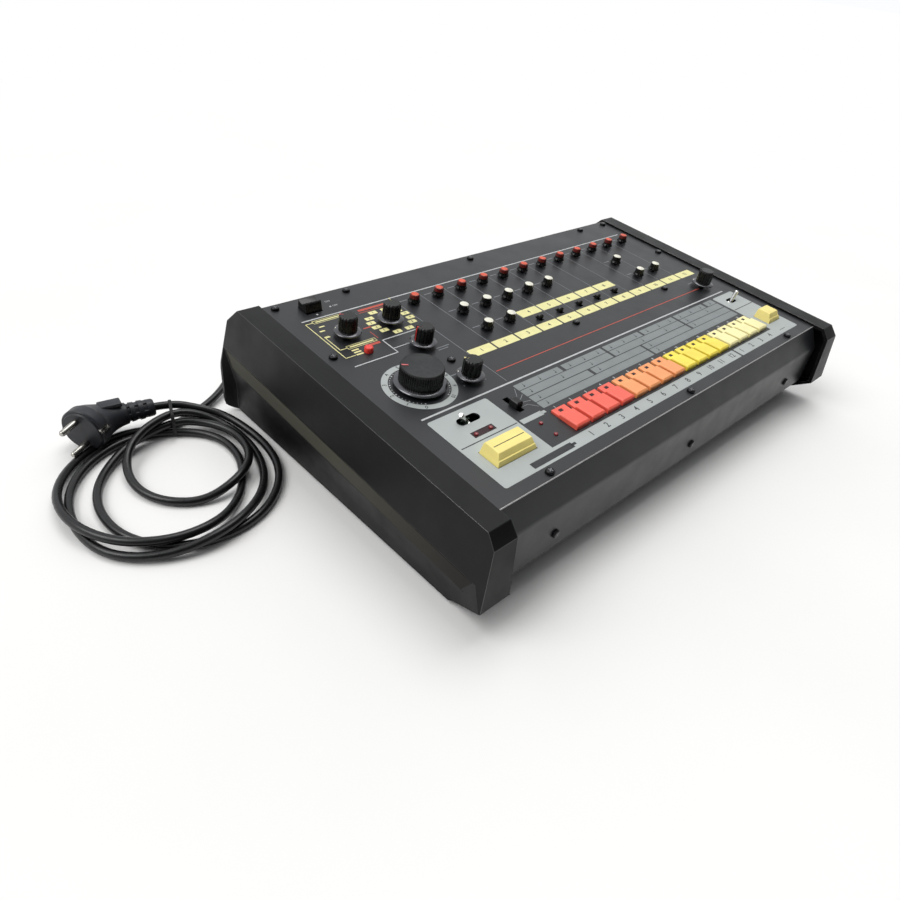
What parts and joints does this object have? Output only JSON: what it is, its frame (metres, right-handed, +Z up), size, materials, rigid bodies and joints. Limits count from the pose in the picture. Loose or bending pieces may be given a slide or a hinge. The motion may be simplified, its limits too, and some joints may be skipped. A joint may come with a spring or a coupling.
{
  "type": "drum machine",
  "caption": "Table-top drum machine: sloping steel panel between moulded cheeks, coloured step keys, tempo dial, level knobs, levers, and a mains cord with a two-pin plug.",
  "frame": {"origin": "centre of the footprint on the surface it stands on, without the mains cord", "axes": "+Z up, +X to the right, +Y to the rear; the player's side faces -Y"},
  "size_m": [0.6713, 0.3755, 0.1132],
  "materials": {
    "cheek_plastic": "semi-gloss black moulded",
    "panel_paint": "satin charcoal paint",
    "tray_steel": "black satin paint",
    "screw_steel": "black oxide",
    "rubber": "matte",
    "circuit_board": "green lacquer",
    "transformer_iron": "varnished laminations",
    "socket_metal": "nickel",
    "lamp_red": "clear dark red",
    "knob_black": "semi-gloss black",
    "key_red": "satin",
    "key_orange": "satin",
    "key_yellow": "satin",
    "key_cream": "satin",
    "bar_key_plastic": "satin",
    "button_red": "glossy",
    "lever_metal": "satin nickel",
    "cord_jacket": "semi-gloss vinyl"
  },
  "bodies": {
    "casing": {"left_cheek": "cheek_plastic", "right_cheek": "cheek_plastic", "top_panel": "panel_paint", "bottom_cover": "tray_steel", "rear_panel": "tray_steel", "panel_screws": "screw_steel", "rubber_feet": "rubber", "main_board": "circuit_board", "panel_board": "circuit_board", "transformer": "transformer_iron", "rear_jacks": "socket_metal", "indicator_leds": "lamp_red", "tone_knobs": "knob_black", "selector_sliders": "knob_black", "cord_gland": "cord_jacket", "cord_tube": "cord_jacket", "cord_coil": "cord_jacket", "cord_tie": "cord_jacket", "plug": "cord_jacket"},
    "power_rocker": {"power_rocker": "knob_black"},
    "variation_lever": {"variation_lever": "lever_metal"},
    "fill_variation_lever": {"fill_variation_lever": "lever_metal"},
    "prescale_slider": {"prescale_slider": "knob_black"},
    "tempo_knob": {"tempo_knob": "knob_black"},
    "mode_knob": {"mode_knob": "knob_black"},
    "instrument_knob": {"instrument_knob": "knob_black"},
    "fill_knob": {"fill_knob": "knob_black"},
    "fine_tempo_knob": {"fine_tempo_knob": "knob_black"},
    "volume_knob": {"volume_knob": "knob_black"},
    "start_stop_key": {"start_stop_key": "bar_key_plastic"},
    "tap_key": {"tap_key": "bar_key_plastic"},
    "clear_button": {"clear_button": "button_red"},
    "step_key_1": {"step_key_1": "key_red"},
    "step_key_2": {"step_key_2": "key_red"},
    "step_key_3": {"step_key_3": "key_red"},
    "step_key_4": {"step_key_4": "key_red"},
    "step_key_5": {"step_key_5": "key_orange"},
    "step_key_6": {"step_key_6": "key_orange"},
    "step_key_7": {"step_key_7": "key_orange"},
    "step_key_8": {"step_key_8": "key_orange"},
    "step_key_9": {"step_key_9": "key_yellow"},
    "step_key_10": {"step_key_10": "key_yellow"},
    "step_key_11": {"step_key_11": "key_yellow"},
    "step_key_12": {"step_key_12": "key_yellow"},
    "step_key_13": {"step_key_13": "key_cream"},
    "step_key_14": {"step_key_14": "key_cream"},
    "step_key_15": {"step_key_15": "key_cream"},
    "step_key_16": {"step_key_16": "key_cream"},
    "level_knob_1": {"level_knob_1": "knob_black"},
    "level_knob_2": {"level_knob_2": "knob_black"},
    "level_knob_3": {"level_knob_3": "knob_black"},
    "level_knob_4": {"level_knob_4": "knob_black"},
    "level_knob_5": {"level_knob_5": "knob_black"},
    "level_knob_6": {"level_knob_6": "knob_black"},
    "level_knob_7": {"level_knob_7": "knob_black"},
    "level_knob_8": {"level_knob_8": "knob_black"},
    "level_knob_9": {"level_knob_9": "knob_black"},
    "level_knob_10": {"level_knob_10": "knob_black"},
    "level_knob_11": {"level_knob_11": "knob_black"},
    "level_knob_12": {"level_knob_12": "knob_black"}
  },
  "joints": [
    {"name": "power_rocker_tilt", "type": "hinge", "parent": "casing", "child": "power_rocker", "pos_m": [-0.1924, 0.11433, 0.09459], "axis": [1, 0, 0], "range_deg": [0, 16]},
    {"name": "variation_lever_tilt", "type": "hinge", "parent": "casing", "child": "variation_lever", "pos_m": [-0.1808, -0.06025, 0.08242], "axis": [0, 0.9977, 0.0684], "range_deg": [0, 76]},
    {"name": "fill_variation_lever_tilt", "type": "hinge", "parent": "casing", "child": "fill_variation_lever", "pos_m": [0.1935, -0.06045, 0.08241], "axis": [0, 0.9977, 0.0684], "range_deg": [-42, 0]},
    {"name": "prescale_slider_slide", "type": "slide", "parent": "casing", "child": "prescale_slider", "axis": [0, 0.9977, 0.0684], "range_m": [-0.0036, 0.0072]},
    {"name": "tempo_knob_turn", "type": "hinge", "parent": "casing", "child": "tempo_knob", "pos_m": [-0.184, -0.01264, 0.08969], "axis": [0, -0.0684, 0.9977], "range_deg": [-207, 93]},
    {"name": "mode_knob_turn", "type": "hinge", "parent": "casing", "child": "mode_knob", "pos_m": [-0.1895, 0.06787, 0.09521], "axis": [0, -0.0684, 0.9977], "range_deg": [-120, 30]},
    {"name": "instrument_knob_turn", "type": "hinge", "parent": "casing", "child": "instrument_knob", "pos_m": [-0.1463, 0.06827, 0.09524], "axis": [0, -0.0684, 0.9977], "range_deg": [-150, 180]},
    {"name": "fill_knob_turn", "type": "hinge", "parent": "casing", "child": "fill_knob", "pos_m": [-0.146, 0.02797, 0.09248], "axis": [0, -0.0684, 0.9977], "range_deg": [-150, 0]},
    {"name": "fine_tempo_knob_turn", "type": "hinge", "parent": "casing", "child": "fine_tempo_knob", "pos_m": [-0.1448, -0.02481, 0.08886], "axis": [0, -0.0684, 0.9977], "range_deg": [-195, 105]},
    {"name": "volume_knob_turn", "type": "hinge", "parent": "casing", "child": "volume_knob", "pos_m": [0.1915, -0.02641, 0.08875], "axis": [0, -0.0684, 0.9977], "range_deg": [-150, 150]},
    {"name": "start_stop_key_press", "type": "slide", "parent": "casing", "child": "start_stop_key", "axis": [0, 0.0684, -0.9977], "range_m": [0, 0.0025], "stiffness_N_per_m": 300, "springref_m": -0.002},
    {"name": "tap_key_press", "type": "slide", "parent": "casing", "child": "tap_key", "axis": [0, 0.0684, -0.9977], "range_m": [0, 0.0025], "stiffness_N_per_m": 300, "springref_m": -0.002},
    {"name": "clear_button_press", "type": "slide", "parent": "casing", "child": "clear_button", "axis": [0, 0.0684, -0.9977], "range_m": [0, 0.0012], "stiffness_N_per_m": 400, "springref_m": -0.0005},
    {"name": "step_key_1_press", "type": "slide", "parent": "casing", "child": "step_key_1", "axis": [0, 0.0684, -0.9977], "range_m": [0, 0.0012], "stiffness_N_per_m": 400, "springref_m": -0.0008},
    {"name": "step_key_2_press", "type": "slide", "parent": "casing", "child": "step_key_2", "axis": [0, 0.0684, -0.9977], "range_m": [0, 0.0012], "stiffness_N_per_m": 400, "springref_m": -0.0008},
    {"name": "step_key_3_press", "type": "slide", "parent": "casing", "child": "step_key_3", "axis": [0, 0.0684, -0.9977], "range_m": [0, 0.0012], "stiffness_N_per_m": 400, "springref_m": -0.0008},
    {"name": "step_key_4_press", "type": "slide", "parent": "casing", "child": "step_key_4", "axis": [0, 0.0684, -0.9977], "range_m": [0, 0.0012], "stiffness_N_per_m": 400, "springref_m": -0.0008},
    {"name": "step_key_5_press", "type": "slide", "parent": "casing", "child": "step_key_5", "axis": [0, 0.0684, -0.9977], "range_m": [0, 0.0012], "stiffness_N_per_m": 400, "springref_m": -0.0008},
    {"name": "step_key_6_press", "type": "slide", "parent": "casing", "child": "step_key_6", "axis": [0, 0.0684, -0.9977], "range_m": [0, 0.0012], "stiffness_N_per_m": 400, "springref_m": -0.0008},
    {"name": "step_key_7_press", "type": "slide", "parent": "casing", "child": "step_key_7", "axis": [0, 0.0684, -0.9977], "range_m": [0, 0.0012], "stiffness_N_per_m": 400, "springref_m": -0.0008},
    {"name": "step_key_8_press", "type": "slide", "parent": "casing", "child": "step_key_8", "axis": [0, 0.0684, -0.9977], "range_m": [0, 0.0012], "stiffness_N_per_m": 400, "springref_m": -0.0008},
    {"name": "step_key_9_press", "type": "slide", "parent": "casing", "child": "step_key_9", "axis": [0, 0.0684, -0.9977], "range_m": [0, 0.0012], "stiffness_N_per_m": 400, "springref_m": -0.0008},
    {"name": "step_key_10_press", "type": "slide", "parent": "casing", "child": "step_key_10", "axis": [0, 0.0684, -0.9977], "range_m": [0, 0.0012], "stiffness_N_per_m": 400, "springref_m": -0.0008},
    {"name": "step_key_11_press", "type": "slide", "parent": "casing", "child": "step_key_11", "axis": [0, 0.0684, -0.9977], "range_m": [0, 0.0012], "stiffness_N_per_m": 400, "springref_m": -0.0008},
    {"name": "step_key_12_press", "type": "slide", "parent": "casing", "child": "step_key_12", "axis": [0, 0.0684, -0.9977], "range_m": [0, 0.0012], "stiffness_N_per_m": 400, "springref_m": -0.0008},
    {"name": "step_key_13_press", "type": "slide", "parent": "casing", "child": "step_key_13", "axis": [0, 0.0684, -0.9977], "range_m": [0, 0.0012], "stiffness_N_per_m": 400, "springref_m": -0.0008},
    {"name": "step_key_14_press", "type": "slide", "parent": "casing", "child": "step_key_14", "axis": [0, 0.0684, -0.9977], "range_m": [0, 0.0012], "stiffness_N_per_m": 400, "springref_m": -0.0008},
    {"name": "step_key_15_press", "type": "slide", "parent": "casing", "child": "step_key_15", "axis": [0, 0.0684, -0.9977], "range_m": [0, 0.0012], "stiffness_N_per_m": 400, "springref_m": -0.0008},
    {"name": "step_key_16_press", "type": "slide", "parent": "casing", "child": "step_key_16", "axis": [0, 0.0684, -0.9977], "range_m": [0, 0.0012], "stiffness_N_per_m": 400, "springref_m": -0.0008},
    {"name": "level_knob_1_turn", "type": "hinge", "parent": "casing", "child": "level_knob_1", "pos_m": [-0.10791, 0.08384, 0.09631], "axis": [0, -0.0684, 0.9977], "range_deg": [-150, 150]},
    {"name": "level_knob_2_turn", "type": "hinge", "parent": "casing", "child": "level_knob_2", "pos_m": [-0.07995, 0.08384, 0.09631], "axis": [0, -0.0684, 0.9977], "range_deg": [-150, 150]},
    {"name": "level_knob_3_turn", "type": "hinge", "parent": "casing", "child": "level_knob_3", "pos_m": [-0.05198, 0.08384, 0.09631], "axis": [0, -0.0684, 0.9977], "range_deg": [-150, 150]},
    {"name": "level_knob_4_turn", "type": "hinge", "parent": "casing", "child": "level_knob_4", "pos_m": [-0.024, 0.08384, 0.09631], "axis": [0, -0.0684, 0.9977], "range_deg": [-150, 150]},
    {"name": "level_knob_5_turn", "type": "hinge", "parent": "casing", "child": "level_knob_5", "pos_m": [0.00396, 0.08384, 0.09631], "axis": [0, -0.0684, 0.9977], "range_deg": [-150, 150]},
    {"name": "level_knob_6_turn", "type": "hinge", "parent": "casing", "child": "level_knob_6", "pos_m": [0.03193, 0.08384, 0.09631], "axis": [0, -0.0684, 0.9977], "range_deg": [-150, 150]},
    {"name": "level_knob_7_turn", "type": "hinge", "parent": "casing", "child": "level_knob_7", "pos_m": [0.0599, 0.08384, 0.09631], "axis": [0, -0.0684, 0.9977], "range_deg": [-150, 150]},
    {"name": "level_knob_8_turn", "type": "hinge", "parent": "casing", "child": "level_knob_8", "pos_m": [0.08787, 0.08384, 0.09631], "axis": [0, -0.0684, 0.9977], "range_deg": [-150, 150]},
    {"name": "level_knob_9_turn", "type": "hinge", "parent": "casing", "child": "level_knob_9", "pos_m": [0.11585, 0.08384, 0.09631], "axis": [0, -0.0684, 0.9977], "range_deg": [-150, 150]},
    {"name": "level_knob_10_turn", "type": "hinge", "parent": "casing", "child": "level_knob_10", "pos_m": [0.14381, 0.08384, 0.09631], "axis": [0, -0.0684, 0.9977], "range_deg": [-150, 150]},
    {"name": "level_knob_11_turn", "type": "hinge", "parent": "casing", "child": "level_knob_11", "pos_m": [0.17178, 0.08384, 0.09631], "axis": [0, -0.0684, 0.9977], "range_deg": [-150, 150]},
    {"name": "level_knob_12_turn", "type": "hinge", "parent": "casing", "child": "level_knob_12", "pos_m": [0.19975, 0.08384, 0.09631], "axis": [0, -0.0684, 0.9977], "range_deg": [-150, 150]}
  ]
}
